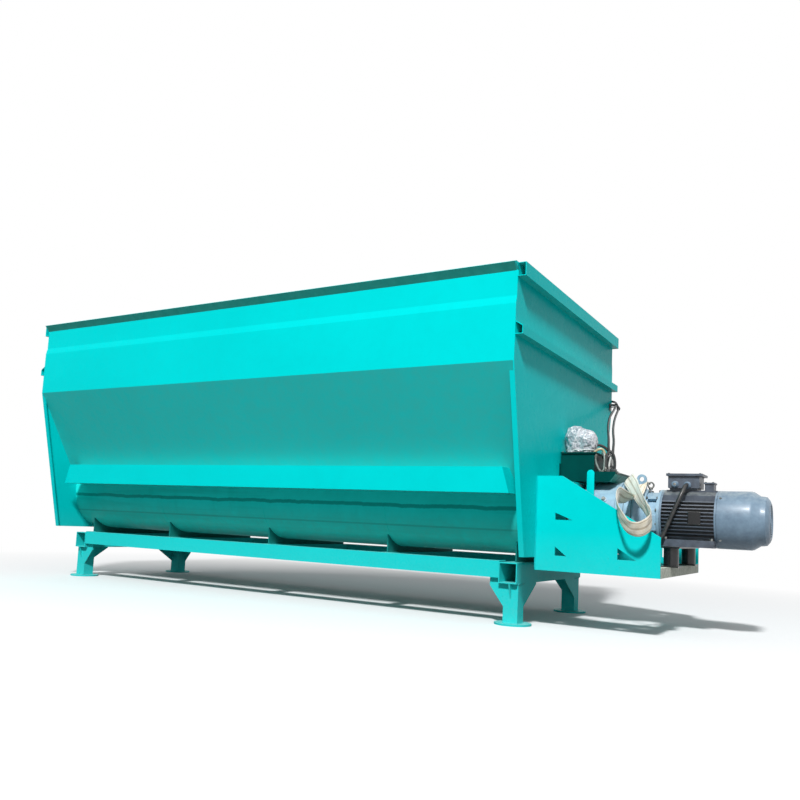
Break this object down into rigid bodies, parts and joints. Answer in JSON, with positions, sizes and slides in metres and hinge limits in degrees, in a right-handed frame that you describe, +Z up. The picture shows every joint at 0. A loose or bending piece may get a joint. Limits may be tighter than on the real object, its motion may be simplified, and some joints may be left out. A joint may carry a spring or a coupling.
{
  "type": "stationary feed mixer",
  "caption": "Long open steel hopper on four legs with two lying augers, an electric gear motor on an end mount and a hydraulic side discharge door.",
  "frame": {"origin": "centre of the whole machine's box at floor level", "axes": "+X along the body towards the motor, -Y towards the pictured side, +Z up"},
  "size_m": [5.852, 2.2054, 2.2251],
  "materials": {
    "teal_paint": "gloss",
    "black_paint": "satin",
    "gear_grey_paint": "satin",
    "motor_grey_paint": "satin",
    "dark_green_paint": "gloss",
    "valve_iron": "satin",
    "plastic_film": "gloss",
    "black_rubber": "matt",
    "sling_webbing": "matt",
    "bearing_iron": "satin",
    "worn_steel": "worn",
    "chromed_rod": "polished"
  },
  "bodies": {
    "machine": {"end_plate_rear": "teal_paint", "end_plate_drive": "teal_paint", "side_shell_near": "teal_paint", "side_shell_far": "teal_paint", "trough": "teal_paint", "beam_near": "teal_paint", "beam_far": "teal_paint", "top_rails": "teal_paint", "mid_rails": "teal_paint", "base_tube_near": "teal_paint", "base_tube_far": "teal_paint", "cross_tubes": "teal_paint", "cross_members": "teal_paint", "saddles": "teal_paint", "leg_near_rear": "teal_paint", "leg_near_drive": "teal_paint", "leg_far_rear": "teal_paint", "leg_far_drive": "teal_paint", "foot_pads": "teal_paint", "mount_cheek_near": "teal_paint", "mount_cheek_far": "teal_paint", "mount_bars": "teal_paint", "motor_pillars": "black_paint", "gear_case": "teal_paint", "gear_head": "gear_grey_paint", "bell_housing": "gear_grey_paint", "motor_body": "motor_grey_paint", "fan_cowl": "motor_grey_paint", "terminal_box": "motor_grey_paint", "oil_tank": "dark_green_paint", "tank_shelf": "dark_green_paint", "valve_block": "valve_iron", "pump_motor": "plastic_film", "door_hoses": "black_rubber", "motor_cable": "black_rubber", "lifting_sling": "sling_webbing", "rear_bearings": "bearing_iron", "discharge_frame": "teal_paint"},
    "auger_near": {"auger_shaft_near": "worn_steel", "auger_flight_near": "worn_steel"},
    "auger_far": {"auger_shaft_far": "worn_steel", "auger_flight_far": "worn_steel"},
    "door": {"discharge_door": "teal_paint"},
    "cylinder": {"door_cylinder": "black_paint"},
    "rod": {"door_rod": "chromed_rod"}
  },
  "joints": [
    {"name": "auger_near_spin", "type": "hinge", "parent": "machine", "child": "auger_near", "pos_m": [-0.624, -0.3, 0.773], "axis": [1, 0, 0], "continuous": true},
    {"name": "auger_far_spin", "type": "hinge", "parent": "machine", "child": "auger_far", "pos_m": [-0.624, 0.3, 0.773], "axis": [1, 0, 0], "continuous": true},
    {"name": "door_hinge", "type": "hinge", "parent": "machine", "child": "door", "pos_m": [0.976, 0.7, 0.813], "axis": [1, 0, 0], "range_deg": [0, 60]},
    {"name": "cylinder_tilt", "type": "hinge", "parent": "machine", "child": "cylinder", "pos_m": [0.976, 1.03527, 1.48], "axis": [1, 0, 0], "range_deg": [0, 6]},
    {"name": "rod_slide", "type": "slide", "parent": "cylinder", "child": "rod", "axis": [0, 0.2697, 0.9629], "range_m": [0, 0.2]}
  ],
  "couplings": [
    {"joint": "auger_far_spin", "follows": "auger_near_spin", "ratio": -1},
    {"joint": "cylinder_tilt", "follows": "door_hinge", "ratio": 0.085},
    {"joint": "rod_slide", "follows": "door_hinge", "m_per_rad": 0.178}
  ]
}
